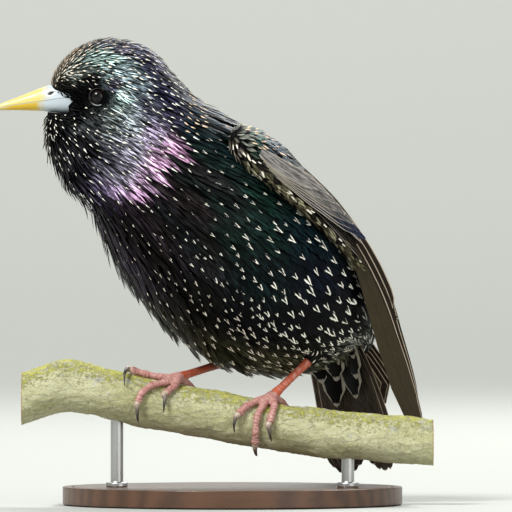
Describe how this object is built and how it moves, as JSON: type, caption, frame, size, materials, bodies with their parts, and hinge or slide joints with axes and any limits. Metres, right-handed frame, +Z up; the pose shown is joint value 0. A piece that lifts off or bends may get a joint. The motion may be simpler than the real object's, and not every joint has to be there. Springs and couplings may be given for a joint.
{
  "type": "common starling, life-size still model on a perch with a display stand",
  "caption": "Life-size still model of an adult starling gripping a cut length of branch, held by a plain round display stand with short rods.",
  "frame": {"origin": "centre of the model's box on its underside, the plane that the round base rests on", "axes": "+Z up; the bill points to -X; the left flank faces -Y, where the camera of the reference view stands"},
  "size_m": [0.1532, 0.118, 0.1609],
  "materials": {
    "plumage": "feathers: glossy black with green, blue and purple sheen and pale spots",
    "flight_feathers": "feathers: dark brown, satin, buff edges",
    "bill": "horn: pale yellow, blue-grey base",
    "eye": "polished dark brown eye",
    "leg_skin": "scaly reddish skin",
    "claw": "dark horn, pale root",
    "bark": "grey-green bark with lichen",
    "stand_metal": "satin steel rod",
    "stand_board": "oiled dark wood"
  },
  "bodies": {
    "root": {"head": "plumage", "neck": "plumage", "torso": "plumage", "thigh_left": "plumage", "thigh_right": "plumage", "wing_left": "flight_feathers", "wing_right": "flight_feathers", "tail": "flight_feathers", "bill_upper": "bill", "bill_lower": "bill", "eye_left": "eye", "eye_right": "eye", "tarsus_left": "leg_skin", "toe_left_inner": "leg_skin", "claw_left_inner": "claw", "toe_left_middle": "leg_skin", "claw_left_middle": "claw", "toe_left_outer": "leg_skin", "claw_left_outer": "claw", "toe_left_hind": "leg_skin", "claw_left_hind": "claw", "stand_rod_left": "stand_metal", "tarsus_right": "leg_skin", "toe_right_inner": "leg_skin", "claw_right_inner": "claw", "toe_right_middle": "leg_skin", "claw_right_middle": "claw", "toe_right_outer": "leg_skin", "claw_right_outer": "claw", "toe_right_hind": "leg_skin", "claw_right_hind": "claw", "stand_rod_right": "stand_metal", "stand_perch": "bark", "stand_base": "stand_board"}
  },
  "joints": []
}
